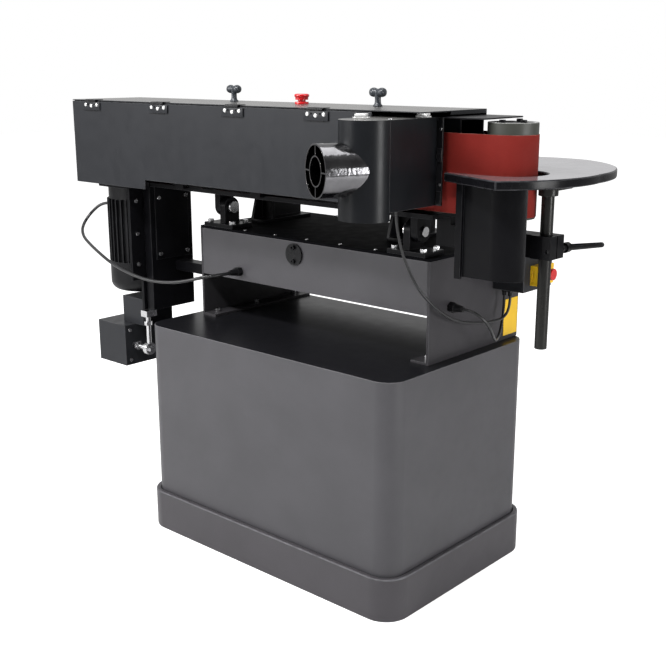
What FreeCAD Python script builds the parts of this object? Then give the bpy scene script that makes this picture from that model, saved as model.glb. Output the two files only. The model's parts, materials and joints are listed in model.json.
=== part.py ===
import FreeCAD, Part
import math
import os

# Oscillating belt edge sander with a round contour table. All sizes are in millimetres.
# Frame: origin at the centre of the plinth's underside, +X towards the contour table,
# +Y towards the operator, +Z up. The belt head tilts backwards, towards -Y.

Vector = FreeCAD.Vector

# ---- clearances ----
running_clearance = 0.05      # radial, shaft in bore
curved_gap = 0.3              # between curved faces of two moving bodies
seat_gap = 0.3                # between a loose piece and its seat

# ---- cabinet ----
cabinet_length = 760.0
cabinet_depth = 500.0
cabinet_top = 520.0
cabinet_corner = 46.0
cabinet_wall = 3.0
plinth_height = 98.0
plinth_gap = 1.5
plinth_wall = 11.5
plinth_floor = 6.0

# ---- upper stand, called the saddle ----
saddle_length = 702.0
saddle_rear_setback = 156.0   # from the cabinet's rear face to the saddle's rear face
saddle_wall = 6.0
saddle_height = 226.0
saddle_window = 106.0         # open height below the rear panel
saddle_foot = 46.0

# ---- tilt pivots ----
tilt_y = -60.0
tilt_height = 48.0            # above the saddle's top
pivot_spacing = 580.0         # between the outer faces of the two pillow blocks
pillow_width = 18.0
pillow_radius = 24.0
pillow_base_length = 100.0
pillow_base_height = 10.0
pin_radius = 11.0
pin_head_radius = 15.0
ear_width = 18.0
ear_radius = 23.0

# ---- belt and drums ----
drum_centre_distance = 1126.0
idler_x = 531.0
drum_y = -90.0
drum_radius = 47.5
drum_bottom = 848.0
drum_height = 178.0
belt_thickness = 1.2
belt_width = 152.0
belt_bottom = 852.0
belt_side_gap = 0.5           # platen face to belt back
frame_inset = 8.0             # belt frame's side to the drum's face
drum_recess_radius = 38.5
stroke = 6.0                  # full height of the oscillation

# ---- head covers ----
head_beam_top = 846.0
head_beam_thickness = 10.0
cover_left = -662.0
cover_rear = -230.0
cover_front = -20.0
lid_right = 425.0
lid_top = 1045.0
lid_thickness = 2.0
lid_skirt = 14.0
cover_wall = 3.0
panel_bottom = 864.0
panel_lip_bottom = 842.0
panel_lip_right = -389.0
top_plate_z = 1031.0
top_plate_right = 511.0
hinge_stations = (-580.0, -326.0, -78.0, 164.0)
hinge_leaf_length = 40.0
hinge_barrel_radius = 3.0

# ---- dust hood ----
hood_x = 357.0
hood_y = -306.0
hood_radius = 52.0
hood_wall = 3.0
hood_top = 1033.0
hood_bottom = 867.0
hood_curve_bottom = 851.0
hood_mouth_y = -158.0
port_radius = 50.0
port_wall = 3.0
port_z = 943.0
port_reach = 101.0            # from the hood's axis to the port's mouth
port_spigot_length = 48.0     # full-size round stretch that takes the hose
port_turn = 25.0              # degrees from straight back, towards -X
port_ring_radius = 28.5

# ---- contour table ----
table_top = 932.0
table_thickness = 17.0
table_slot_gap = 19.5         # belt to table
post_x = 599.0
post_y = -68.0
post_radius = 12.0
post_bottom = 599.0
boss_radius = 18.5
clamp_bottom = 776.0
clamp_height = 44.0
guard_gap = 16.0               # belt to drum guard
guard_wall = 3.0
guard_bottom = 736.0

# ---- motor and carriage ----
motor_radius = 82.0
motor_bottom = 555.0
motor_top = 826.0
motor_fin_count = 32
fan_cover_height = 78.0
motor_plate_thickness = 10.0
column_x = -499.0
column_thickness = 26.0
column_bottom = 521.0
rail_thickness = 3.0
carriage_thickness = 9.0
carriage_bottom = 475.0
carriage_shoulder = 599.0
shaft_radius = 14.0
gear_box_left = -660.0
gear_box_right = -547.0
gear_box_rear = -192.0
gear_box_front = -73.0
gear_box_bottom = 367.0
gear_box_top = 475.0
crank_y = -160.0
crank_z = 419.0
crank_radius = 9.0
crank_pin_radius = 5.0
rod_eye_radius = 16.0
rod_eye_width = 14.0

# ---- front work table ----
work_table_left = -440.0
work_table_right = 300.0
work_table_rear = -16.0
work_table_front = 262.0
work_table_top = 900.0
work_table_thickness = 18.0

# ---- control box ----
control_depth = 79.0
control_rear = 140.0
control_front = 257.0
control_bottom = 648.0
control_top = 760.0
button_radius = 10.0
button_travel = 4.0

# ---- cables ----
motor_cable_diameter = 8.0
lead_diameter = 6.0
gland_radius = 10.0

# derived places
cabinet_rear = -cabinet_depth / 2
saddle_bottom = cabinet_top
saddle_top = saddle_bottom + saddle_height
saddle_left = -saddle_length / 2
saddle_right = saddle_length / 2
saddle_rear = cabinet_rear + saddle_rear_setback
saddle_front = cabinet_depth / 2
tilt_z = saddle_top + tilt_height
drive_x = idler_x - drum_centre_distance
belt_inner_radius = drum_radius + curved_gap
frame_half = drum_radius - frame_inset
belt_outer_radius = belt_inner_radius + belt_thickness
drum_top = drum_bottom + drum_height
half_stroke = stroke / 2
head_beam_bottom = head_beam_top - head_beam_thickness
head_beam_left = column_x + column_thickness
head_beam_right = 395.0
table_bottom = table_top - table_thickness
slot_radius = belt_outer_radius + table_slot_gap
guard_radius = belt_outer_radius + guard_gap
carriage_right = column_x - rail_thickness
carriage_left = carriage_right - carriage_thickness
hinge_axis_y = cover_rear - hinge_barrel_radius
hinge_axis_z = lid_top - 1.5

X_AXIS = Vector(1, 0, 0)
Y_AXIS = Vector(0, 1, 0)
Z_AXIS = Vector(0, 0, 1)


def save(name, shape):
    """Write one node."""
    shape.exportStep(os.path.join("parts", name + ".step"))


def block(x0, x1, y0, y1, z0, z1):
    return Part.makeBox(x1 - x0, y1 - y0, z1 - z0, Vector(x0, y0, z0))


def rod(x, y, z, radius, length, axis=Z_AXIS):
    return Part.makeCylinder(radius, length, Vector(x, y, z), axis)


def tube(x, y, z, outer, inner, length, axis=Z_AXIS):
    return rod(x, y, z, outer, length, axis).cut(rod(x, y, z, inner, length, axis))


def group(solids):
    return Part.makeCompound(solids)


def join(solids):
    result = solids[0]
    for solid in solids[1:]:
        result = result.fuse(solid)
    return result.removeSplitter()


def hex_head(x, y, z, across, height, axis=Z_AXIS):
    """Hexagon bolt head standing on a face, along +X, -X, +Y, -Y or +Z."""
    radius = across / math.sqrt(3)
    corners = []
    for i in range(7):
        turn = math.radians(60 * i)
        corners.append(Vector(radius * math.cos(turn), radius * math.sin(turn), 0))
    prism = Part.Face(Part.makePolygon(corners)).extrude(Vector(0, 0, height))
    turn = FreeCAD.Rotation(Z_AXIS, axis)
    prism.Placement = FreeCAD.Placement(Vector(x, y, z), turn)
    return prism


def socket_head(x, y, z, radius, height, axis=Z_AXIS):
    """Socket screw head with its hexagon recess."""
    head = rod(x, y, z, radius, height, axis)
    mouth = Vector(x, y, z) + axis * (height * 0.5)
    recess = hex_head(mouth.x, mouth.y, mouth.z, radius, height, axis)
    return head.cut(recess)


def rounded_block(x0, x1, y0, y1, z0, z1, radius):
    """Block whose four upright edges are rounded."""
    solid = block(x0, x1, y0, y1, z0, z1)
    upright = []
    for edge in solid.Edges:
        if abs(edge.BoundBox.ZLength - (z1 - z0)) < 1e-6:
            upright.append(edge)
    return solid.makeFillet(radius, upright)


# ---------------- stand ----------------

def cabinet_shell():
    half_length = cabinet_length / 2
    half_depth = cabinet_depth / 2
    wall = cabinet_wall
    outer = rounded_block(-half_length, half_length, -half_depth, half_depth,
                          plinth_floor, cabinet_top, cabinet_corner)
    inner = rounded_block(-half_length + wall, half_length - wall,
                          -half_depth + wall, half_depth - wall,
                          plinth_floor, cabinet_top - wall, cabinet_corner - wall)
    return outer.cut(inner)


def cabinet_plinth():
    inner_x = cabinet_length / 2 + plinth_gap
    inner_y = cabinet_depth / 2 + plinth_gap
    outer_x = inner_x + plinth_wall
    outer_y = inner_y + plinth_wall
    inner_corner = cabinet_corner + plinth_gap
    outer = rounded_block(-outer_x, outer_x, -outer_y, outer_y, 0, plinth_height,
                          inner_corner + plinth_wall)
    inner = rounded_block(-inner_x, inner_x, -inner_y, inner_y, plinth_floor,
                          plinth_height, inner_corner)
    return outer.cut(inner)


def saddle_side(side):
    """Side plate with an inward foot; side is -1 for left, 1 for right."""
    outer = side * saddle_length / 2
    inner = outer - side * saddle_wall
    toe = outer - side * saddle_foot
    top = saddle_top - saddle_wall
    plate = block(min(outer, inner), max(outer, inner), saddle_rear, saddle_front,
                  saddle_bottom, top)
    foot = block(min(inner, toe), max(inner, toe), saddle_rear, saddle_front,
                 saddle_bottom, saddle_bottom + saddle_wall)
    body = join([plate, foot])
    if side < 0:
        body = body.cut(tilt_lock_slot())
    return body


lock_radius = 160.0
lock_stud_radius = 6.0
tilt_range = 45.0


def tilt_lock_slot():
    """Arc slot about the tilt axis, for the lock stud over the whole tilt."""
    half_width = lock_stud_radius + 1.0
    x0 = saddle_left - 1
    length = saddle_wall + 2
    ring = tube(x0, tilt_y, tilt_z, lock_radius + half_width, lock_radius - half_width,
                length, X_AXIS)
    lead = 2.0
    reach = lock_radius * 2
    start = math.radians(-90)
    end = math.radians(-90 + tilt_range)
    centre = Vector(x0, tilt_y, tilt_z)
    corners = [centre,
               centre + Vector(0, math.cos(start) * reach - lead, math.sin(start) * reach),
               centre + Vector(0, math.cos(end) * reach + lead, math.sin(end) * reach),
               centre]
    wedge = Part.Face(Part.makePolygon(corners)).extrude(Vector(length, 0, 0))
    slot = ring.common(wedge)
    for turn in (start, end):
        slot = slot.fuse(rod(x0, tilt_y + math.cos(turn) * lock_radius,
                             tilt_z + math.sin(turn) * lock_radius,
                             half_width, length, X_AXIS))
    return slot


def saddle_rear_panel():
    inner = saddle_length / 2 - saddle_wall
    return block(-inner, inner, saddle_rear, saddle_rear + saddle_wall,
                 saddle_bottom + saddle_window, saddle_top - saddle_wall)


def saddle_front_panel():
    inner = saddle_length / 2 - saddle_wall
    return block(-inner, inner, saddle_front - saddle_wall, saddle_front,
                 saddle_bottom + saddle_foot, saddle_top - saddle_wall)


def saddle_top_plate():
    return block(saddle_left, saddle_right, saddle_rear, saddle_front,
                 saddle_top - saddle_wall, saddle_top)


def saddle_screws():
    """Button screws along the top plate's rear and front edges."""
    heads = []
    pitch = 100.0
    for i in range(-2, 3):
        for y in (saddle_rear + 8, saddle_front - 8):
            heads.append(rod(i * pitch, y, saddle_top, 4.0, 2.2))
    return group(heads)


def saddle_bolts():
    """Hexagon bolts that hold the saddle's feet to the cabinet."""
    heads = []
    inset = saddle_wall + 15.0
    for side in (-1, 1):
        for y in (saddle_rear + 29, saddle_rear + 164, saddle_front - 40):
            x = side * (saddle_length / 2 - inset)
            heads.append(hex_head(x, y, saddle_bottom + saddle_wall, 13.0, 8.0))
    return group(heads)


cap_x = -31.0
cap_z = 711.0
cap_radius = 25.0
cap_thickness = 4.0


def blank_cap():
    return rod(cap_x, saddle_rear, cap_z, cap_radius, cap_thickness, -Y_AXIS)


def blank_cap_screws():
    screws = []
    for lift in (-16.0, 16.0):
        screws.append(socket_head(cap_x, saddle_rear - cap_thickness, cap_z + lift,
                                  5.5, 5.0, -Y_AXIS))
    return group(screws)


def pillow_block(side):
    """Base and round-topped upright that carries the tilt pin."""
    outer = side * pivot_spacing / 2
    inner = outer - side * pillow_width
    base_outer = outer + side * 47.0
    base_inner = base_outer - side * pillow_base_length
    base = block(min(base_outer, base_inner), max(base_outer, base_inner),
                 saddle_rear, tilt_y + 34, saddle_top, saddle_top + pillow_base_height)
    left = min(outer, inner)
    upright = block(left, left + pillow_width, tilt_y - pillow_radius,
                    tilt_y + pillow_radius, saddle_top + pillow_base_height, tilt_z)
    crown = rod(left, tilt_y, tilt_z, pillow_radius, pillow_width, X_AXIS)
    bore = rod(left, tilt_y, tilt_z, pin_radius, pillow_width, X_AXIS)
    return join([base, upright, crown]).cut(bore)


def pillow_bolts():
    heads = []
    top = saddle_top + pillow_base_height
    for side in (-1, 1):
        outer = side * (pivot_spacing / 2 + 47.0)
        for inset in (12.0, pillow_base_length - 12.0):
            for y in (saddle_rear + 12, tilt_y + 22):
                heads.append(hex_head(outer - side * inset, y, top, 13.0, 7.0))
    return group(heads)


def tilt_pins():
    """Headed pins, tight in the pillow blocks, on which the head's ears turn."""
    pins = []
    for side in (-1, 1):
        axis = X_AXIS * side
        start = side * (pivot_spacing / 2 - pillow_width)
        reach = pillow_width + seat_gap * 2 + ear_width + 5.0
        pin = rod(start, tilt_y, tilt_z, pin_radius, reach, axis)
        head = rod(start, tilt_y, tilt_z, pin_head_radius, 9.0, -axis)
        pins.append(join([pin, head]))
    return group(pins)


bracket_stations = (-297.0, 140.0)
bracket_width = 44.0


def work_table():
    """Cast table in front of the belt, with a mitre slot along it."""
    top = block(work_table_left, work_table_right, work_table_rear, work_table_front,
                work_table_top - work_table_thickness, work_table_top)
    slot_depth = 9.0
    slot = block(work_table_left - 1, work_table_right + 1, 150.0, 169.0,
                 work_table_top - slot_depth, work_table_top + 1)
    return top.cut(slot)


def work_table_brackets():
    """Two welded posts with a gusset behind each, from the saddle to the work table."""
    brackets = []
    underside = work_table_top - work_table_thickness
    thickness = 8.0
    post_rear = 60.0
    post_front = 200.0
    gusset_rear = 26.0
    for x in bracket_stations:
        foot = block(x, x + bracket_width, gusset_rear, post_front, saddle_top,
                     saddle_top + thickness)
        web = block(x, x + thickness, post_rear, post_front, saddle_top + thickness,
                    underside - thickness)
        face = block(x + thickness, x + bracket_width, post_rear,
                     post_rear + thickness, saddle_top + thickness,
                     underside - thickness)
        pad = block(x, x + bracket_width, gusset_rear, post_front,
                    underside - thickness, underside)
        corners = [Vector(x, gusset_rear, saddle_top + thickness),
                   Vector(x, post_rear, saddle_top + thickness),
                   Vector(x, post_rear, underside - thickness),
                   Vector(x, gusset_rear, saddle_top + thickness)]
        gusset = Part.Face(Part.makePolygon(corners)).extrude(Vector(thickness, 0, 0))
        brackets.append(join([foot, web, face, pad, gusset]))
    return group(brackets)


# ---------------- controls ----------------

control_left = saddle_right
control_right = saddle_right + control_depth
switch_rear = 165.0
switch_front = 230.0
switch_bottom = 662.0
switch_top = 706.0
switch_proud = 20.0
start_y = 182.0
stop_y = 210.0
switch_z = (switch_bottom + switch_top) / 2


def control_box():
    wall = 2.0
    outer = block(control_left, control_right, control_rear, control_front,
                  control_bottom, control_top)
    inner = block(control_left + wall, control_right - wall, control_rear + wall,
                  control_front - wall, control_bottom + wall, control_top - wall)
    return outer.cut(inner)


def switch_enclosure():
    body = block(control_right, control_right + switch_proud, switch_rear,
                 switch_front, switch_bottom, switch_top)
    slot = block(control_right + 4, control_right + 9, switch_rear - 1,
                 switch_rear + 2, switch_bottom + 8, switch_top - 12)
    body = body.cut(slot)
    face = control_right + switch_proud
    for y in (start_y, stop_y):
        well = rod(face - 12, y, switch_z, button_radius + curved_gap, 12, X_AXIS)
        body = body.cut(well)
    return body


def push_button(y, proud):
    """Round button in its well; it travels into the enclosure."""
    face = control_right + switch_proud
    back = face - 12 + button_travel + 1
    return rod(back, y, switch_z, button_radius, face + proud - back, X_AXIS)


def stop_button():
    face = control_right + switch_proud
    stem = push_button(stop_y, 6.0)
    head = rod(face + 6, stop_y, switch_z, button_radius + 3, 7.0, X_AXIS)
    return join([stem, head])


selector_y = 184.0
selector_z = 732.0


def selector_knob():
    """Round knob with a raised finger bar, on the control box's face."""
    face = control_right + seat_gap
    base = rod(face, selector_y, selector_z, 13.0, 10.0, X_AXIS)
    bar = block(face + 10, face + 20, selector_y - 3.5, selector_y + 3.5,
                selector_z - 12, selector_z + 12)
    return join([base, bar])


notice_rear = 190.0
notice_front = 246.0
notice_bottom = 530.0
notice_top = 614.0


def notice_plate():
    """Plain plate on the saddle's right side."""
    return block(saddle_right, saddle_right + 1.0, notice_rear, notice_front,
                 notice_bottom, notice_top)


# ---------------- cables and glands ----------------

rear_gland = (-213.0, 648.0)
side_gland = (-20.0, 634.0)
box_gland_a = (386.0, 158.0)
box_gland_b = (371.0, 158.0)
gland_length = 34.0


def gland(x, y, z, axis, length=gland_length):
    """Hexagon nut and a tapered sleeve, with a lead's bore in its nose."""
    nut = hex_head(x, y, z, gland_radius * 2, length * 0.4, axis)
    start = Vector(x, y, z) + axis * (length * 0.4)
    sleeve = Part.makeCone(gland_radius * 0.9, gland_radius * 0.62, length * 0.6,
                           start, axis)
    return join([nut, sleeve])


def saddle_glands():
    rear = gland(rear_gland[0], saddle_rear, rear_gland[1], -Y_AXIS)
    side = gland(saddle_right, side_gland[0], side_gland[1], X_AXIS)
    return group([rear, side])


def box_glands():
    glands = []
    for x, y in (box_gland_a, box_gland_b):
        hexagon = hex_head(x, y, control_bottom - 6, 12.0, 6.0)
        nose = rod(x, y, control_bottom - 14, 5.0, 8.0)
        glands.append(join([hexagon, nose]))
    return group(glands)


motor_gland_x = -714.0
motor_gland_y = -60.0
motor_gland_z = 762.0

# Points chosen along each cable's route, end to end.
motor_cable_route = (
    (-748, -60, 762), (-792, -60, 762), (-826, -78, 733), (-824, -112, 698),
    (-786, -138, 678), (-727, -160, 666), (-652, -185, 654), (-572, -204, 637),
    (-490, -213, 624), (-408, -215, 616), (-332, -211, 621), (-275, -204, 633),
    (-238, -192, 644), (-213, -164, 648), (-213, -128, 648))
head_lead_route = (
    (322, -172, 867), (322, -172, 837), (319, -161, 803), (319, -147, 764),
    (329, -136, 724), (346, -125, 687), (363, -104, 656), (370, -70, 630),
    (370, -28, 609), (371, 12, 597), (376, 50, 590), (382, 86, 587),
    (385, 124, 586), (386, 146, 594), (386, 158, 612), (386, 158, 634))
side_lead_route = (
    (385, -20, 634), (406, -20, 634), (424, -15, 624), (434, -3, 608),
    (433, 14, 590), (424, 38, 570), (409, 68, 554), (394, 98, 546),
    (384, 122, 550), (377, 140, 564), (373, 152, 586), (371, 158, 612),
    (371, 158, 634))


def cable(route, diameter, name):
    """Round lead along a route of points: straight runs joined by tangent arcs."""
    points = [Vector(*p) for p in route]
    edges = []
    radii = []
    last = points[0]
    for before, corner, after in zip(points, points[1:], points[2:]):
        run_in = corner - before
        run_out = after - corner
        turn = run_in.getAngle(run_out)
        reach = 0.45 * min(run_in.Length, run_out.Length)
        radius = reach / math.tan(turn / 2)
        radii.append(radius)
        into = Vector(run_in).normalize()
        away = Vector(run_out).normalize()
        start = corner - into * reach
        end = corner + away * reach
        inward = (away - into).normalize()
        middle = corner + inward * (radius / math.cos(turn / 2) - radius)
        edges.append(Part.LineSegment(last, start).toShape())
        edges.append(Part.Arc(start, middle, end).toShape())
        last = end
    edges.append(Part.LineSegment(last, points[-1]).toShape())
    path = Part.Wire(edges)
    length = path.Length
    first_run = (points[1] - points[0]).normalize()
    circle = Part.Circle(points[0], first_run, diameter / 2)
    profile = Part.Wire([circle.toShape()])
    solid = path.makePipeShell([profile], True, False)
    section = math.pi * diameter * diameter / 4
    print(name, "length", round(length, 1), "least radius", round(min(radii), 1),
          "radii", [round(r) for r in radii],
          "volume ratio", round(solid.Volume / (section * length), 4))
    return solid


# ---------------- tilting head ----------------

def head_beam():
    """Long base plate under the belt, with two ears that turn on the tilt pins."""
    plate = block(head_beam_left, head_beam_right, drum_y - 60, drum_y + 60,
                  head_beam_bottom, head_beam_top)
    pieces = [plate]
    for side in (-1, 1):
        inner = side * (pivot_spacing / 2 + seat_gap)
        outer = inner + side * ear_width
        left = min(inner, outer)
        ear = block(left, left + ear_width, tilt_y - ear_radius, tilt_y + ear_radius,
                    tilt_z, head_beam_bottom)
        crown = rod(left, tilt_y, tilt_z, ear_radius, ear_width, X_AXIS)
        pieces.append(ear)
        pieces.append(crown)
    beam = join(pieces)
    for side in (-1, 1):
        inner = side * (pivot_spacing / 2 + seat_gap)
        bore = rod(inner, tilt_y, tilt_z, pin_radius + running_clearance, ear_width,
                   X_AXIS * side)
        beam = beam.cut(bore)
    return beam


def rear_panel():
    """Rear cover, deeper at the drive end, with three arms from the head beam."""
    top = hinge_axis_z - 2.0
    panel = block(cover_left, hood_x - hood_radius, cover_rear,
                  cover_rear + cover_wall, panel_bottom, top)
    lip = block(cover_left, panel_lip_right, cover_rear, cover_rear + cover_wall,
                panel_lip_bottom, panel_bottom)
    return join([panel, lip])


arm_stations = (-360.0, -100.0, 160.0)


def panel_arms():
    """Angle arms that carry the rear panel on the head beam."""
    arms = []
    beam_edge = drum_y - 60
    step = 13.0
    width = 30.0
    for x in arm_stations:
        leg = block(x, x + width, beam_edge - step, beam_edge,
                    head_beam_top - 4, panel_bottom + 12)
        reach = block(x, x + width, cover_rear + cover_wall, beam_edge - step,
                      panel_bottom + 4, panel_bottom + 12)
        arms.append(join([leg, reach]))
    return group(arms)


def left_end_cover():
    """End cover with a short return along the front of the drive drum."""
    bottom = panel_lip_bottom
    top = lid_top - lid_skirt - 1
    end = block(cover_left, cover_left + cover_wall, cover_rear + cover_wall,
                cover_front, bottom, top)
    front = block(cover_left + cover_wall, drive_x + 60, cover_front - cover_wall,
                  cover_front, bottom, top)
    return join([end, front])


latch_stations = (-230.0, 201.0)
latch_y = -84.0
latch_stem_radius = 4.0


def latch_bars():
    """Bars from the rear panel that the lid's T-knobs screw into."""
    bars = []
    top = lid_top - lid_thickness - 0.5
    for x in latch_stations:
        bar = block(x - 15, x + 15, cover_rear + cover_wall, latch_y + 14, top - 4, top)
        bore = rod(x, latch_y, top - 5, latch_stem_radius + 1.5, 6)
        bars.append(bar.cut(bore))
    return group(bars)


def lid():
    """Shallow lid with a skirt on three sides; it swings about the rear top edge."""
    rear = cover_rear + 1
    top = block(cover_left, lid_right, rear, cover_front, lid_top - lid_thickness,
                lid_top)
    skirt_bottom = lid_top - lid_skirt
    wall = lid_thickness
    front = block(cover_left, lid_right, cover_front - wall, cover_front,
                  skirt_bottom, lid_top - wall)
    left = block(cover_left, cover_left + wall, cover_rear + 6, cover_front - wall,
                 skirt_bottom, lid_top - wall)
    right = block(lid_right - wall, lid_right, -140.0, cover_front - wall,
                  lid_top - 8, lid_top - wall)
    shell = join([top, front, left, right])
    for x in latch_stations:
        shell = shell.cut(rod(x, latch_y, lid_top - 5, latch_stem_radius + 0.5, 10))
    shell = shell.cut(rod(stop_x, estop_y, lid_top - 5, estop_stem_radius + 1, 10))
    return shell


def hinge_fixed_leaves():
    """Leaf on the rear panel with the middle barrel of each lid hinge."""
    leaves = []
    third = hinge_leaf_length / 3
    for x in hinge_stations:
        leaf = block(x - hinge_leaf_length / 2, x + hinge_leaf_length / 2,
                     cover_rear - 2, cover_rear, hinge_axis_z - 24, hinge_axis_z - 3.5)
        neck = block(x - third / 2, x + third / 2, cover_rear - 2, cover_rear - 0.5,
                     hinge_axis_z - 3.5, hinge_axis_z)
        barrel = rod(x - third / 2, hinge_axis_y, hinge_axis_z, hinge_barrel_radius,
                     third, X_AXIS)
        bore = rod(x - third / 2, hinge_axis_y, hinge_axis_z,
                   1.5 + running_clearance, third, X_AXIS)
        leaves.append(join([leaf, neck, barrel]).cut(bore))
    return group(leaves)


def hinge_lid_leaves():
    """Leaf on the lid with two outer barrels and the hinge pin."""
    leaves = []
    third = hinge_leaf_length / 3
    gap = seat_gap
    for x in hinge_stations:
        pieces = [block(x - hinge_leaf_length / 2, x + hinge_leaf_length / 2,
                        cover_rear + 1, cover_rear + 18, lid_top, lid_top + 1.5)]
        for side in (-1, 1):
            left = x + side * hinge_leaf_length / 2
            width = third - gap
            start = left if side < 0 else left - width
            pieces.append(rod(start, hinge_axis_y, hinge_axis_z, hinge_barrel_radius,
                              width, X_AXIS))
            pieces.append(block(start, start + width, hinge_axis_y, cover_rear + 2,
                                lid_top, lid_top + 1.5))
        pieces.append(rod(x - hinge_leaf_length / 2, hinge_axis_y, hinge_axis_z, 1.5,
                          hinge_leaf_length, X_AXIS))
        leaves.append(join(pieces))
    return group(leaves)


def hinge_rivets():
    """Three rivets on each leaf of the rear panel, the middle one lower."""
    rivets = []
    for x in hinge_stations:
        for shift, drop in ((-12.0, 9.0), (0.0, 13.0), (12.0, 9.0)):
            rivets.append(rod(x + shift, cover_rear - 2, hinge_axis_z - drop, 2.6,
                              1.2, -Y_AXIS))
    return group(rivets)


stop_x = -12.0
estop_y = -86.0
estop_stem_radius = 9.0
estop_collar = 14.0


def estop_collar_ring():
    return tube(stop_x, estop_y, lid_top, estop_collar,
                estop_stem_radius + curved_gap, 5.0)


def estop_button():
    """Mushroom head on a stem that passes through the lid."""
    stem = rod(stop_x, estop_y, lid_top - 3, estop_stem_radius, 13.0)
    head = rod(stop_x, estop_y, lid_top + 10, 19.0, 12.0)
    rim = []
    for edge in head.Edges:
        if abs(edge.BoundBox.ZMax - (lid_top + 22)) < 1e-6:
            if edge.BoundBox.ZLength < 1e-6:
                rim.append(edge)
    head = head.makeFillet(4.0, rim)
    return join([stem, head])


def latch_knob(x):
    """T-shaped hand knob: stem, hub and a rounded cross bar."""
    base = lid_top + 0.2
    stem = rod(x, latch_y, lid_top - lid_thickness - 4.0, latch_stem_radius, 8.0)
    hub = rod(x, latch_y, base, 8.0, 20.0)
    bar = rod(x - 22, latch_y, base + 30, 10.0, 44.0, X_AXIS)
    neck = Part.makeCone(8.0, 10.0, 10.0, Vector(x, latch_y, base + 18), Z_AXIS)
    return join([stem, hub, neck, bar])


# ---------------- dust hood ----------------

def hood_outline(offset, mouth_y):
    """Plan of the hood: round at the rear, straight sides towards the belt."""
    radius = hood_radius - offset
    left = hood_x - radius
    right = hood_x + radius
    arc = Part.Arc(Vector(left, hood_y, 0), Vector(hood_x, hood_y - radius, 0),
                   Vector(right, hood_y, 0)).toShape()
    right_side = Part.makeLine(Vector(right, hood_y, 0), Vector(right, mouth_y, 0))
    mouth = Part.makeLine(Vector(right, mouth_y, 0), Vector(left, mouth_y, 0))
    left_side = Part.makeLine(Vector(left, mouth_y, 0), Vector(left, hood_y, 0))
    return Part.Face(Part.Wire([arc, right_side, mouth, left_side]))


def hood_prism(offset, mouth_y, z0, z1):
    face = hood_outline(offset, mouth_y)
    face.translate(Vector(0, 0, z0))
    return face.extrude(Vector(0, 0, z1 - z0))


def port_axis():
    turn = math.radians(port_turn)
    return Vector(-math.sin(turn), -math.cos(turn), 0)


def dust_hood():
    """Curved hood behind the idler end; its mouth faces the belt."""
    outer = hood_prism(0, hood_mouth_y, hood_curve_bottom, hood_top)
    inner = hood_prism(hood_wall, hood_mouth_y + 1, hood_curve_bottom + hood_wall,
                       hood_top - hood_wall)
    shell = outer.cut(inner)
    lift = block(hood_x - hood_radius - 1, hood_x + hood_radius + 1, hood_y + 10,
                 hood_mouth_y + 1, hood_curve_bottom - 1, hood_bottom)
    floor = hood_prism(0, hood_mouth_y, hood_bottom, hood_bottom + hood_wall)
    floor = floor.common(block(hood_x - hood_radius, hood_x + hood_radius, hood_y + 7,
                               hood_mouth_y, hood_bottom, hood_bottom + hood_wall))
    riser = hood_prism(0, hood_mouth_y, hood_curve_bottom, hood_bottom)
    riser = riser.common(block(hood_x - hood_radius, hood_x + hood_radius, hood_y + 7,
                               hood_y + 10, hood_curve_bottom, hood_bottom))
    shell = join([shell.cut(lift), floor, riser])
    start = Vector(hood_x, hood_y, port_z)
    duct = Part.makeCylinder(port_radius - port_wall - 4, port_reach, start, port_axis())
    side_cut = block(hood_x + hood_radius - hood_wall, hood_x + hood_radius + 1,
                     hood_y + 4, hood_mouth_y + 1, hood_bottom - 20, hood_top + 1)
    return shell.cut(duct).cut(side_cut)


def hood_side_panel():
    """Flat right side of the hood, screwed in behind a seam."""
    x1 = hood_x + hood_radius
    return block(x1 - hood_wall, x1, hood_y + 4, hood_mouth_y, hood_bottom, hood_top)


def hood_port():
    """Round outlet with an inner ring on four spokes at its mouth."""
    axis = port_axis()
    start = Vector(hood_x, hood_y, port_z)
    root_length = port_reach - port_spigot_length
    root = Part.makeCylinder(port_radius - 0.8, root_length, start, axis)
    spigot = Part.makeCylinder(port_radius, port_spigot_length,
                               start + axis * root_length, axis)
    outer = root.fuse(spigot)
    inner = Part.makeCylinder(port_radius - port_wall, port_reach, start, axis)
    shell = outer.cut(inner)
    hood_solid = hood_prism(0, hood_mouth_y, hood_curve_bottom - 20, hood_top + 20)
    shell = shell.cut(hood_solid)
    ring_depth = 18.0
    mouth = start + axis * (port_reach - ring_depth)
    ring = Part.makeCylinder(port_ring_radius, ring_depth, mouth, axis)
    ring = ring.cut(Part.makeCylinder(port_ring_radius - 2.5, ring_depth, mouth, axis))
    pieces = [shell, ring]
    across = axis.cross(Z_AXIS)
    thickness = 2.5
    gap = port_radius - port_wall - port_ring_radius + 3.0
    for direction in (Z_AXIS, -Z_AXIS, across, -across):
        width_axis = axis.cross(direction)
        corner = mouth + direction * (port_ring_radius - 1.5) - width_axis * (thickness / 2)
        face = Part.Face(Part.makePolygon([
            corner, corner + width_axis * thickness,
            corner + width_axis * thickness + direction * gap,
            corner + direction * gap, corner]))
        pieces.append(face.extrude(axis * ring_depth))
    return join(pieces)


strip_left = hood_x + hood_radius
strip_width = 14.0


def hood_strip():
    """Black angle strip that closes the gap between the hood and the belt."""
    return block(strip_left, strip_left + strip_width, hood_mouth_y - 4, hood_mouth_y,
                 hood_bottom, hood_top)


def hood_strip_pads():
    pads = []
    for z in (hood_bottom + 2, 950.0):
        pads.append(block(strip_left + 3, strip_left + strip_width, hood_mouth_y - 7,
                          hood_mouth_y - 4, z, z + 26))
    return group(pads)


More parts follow.
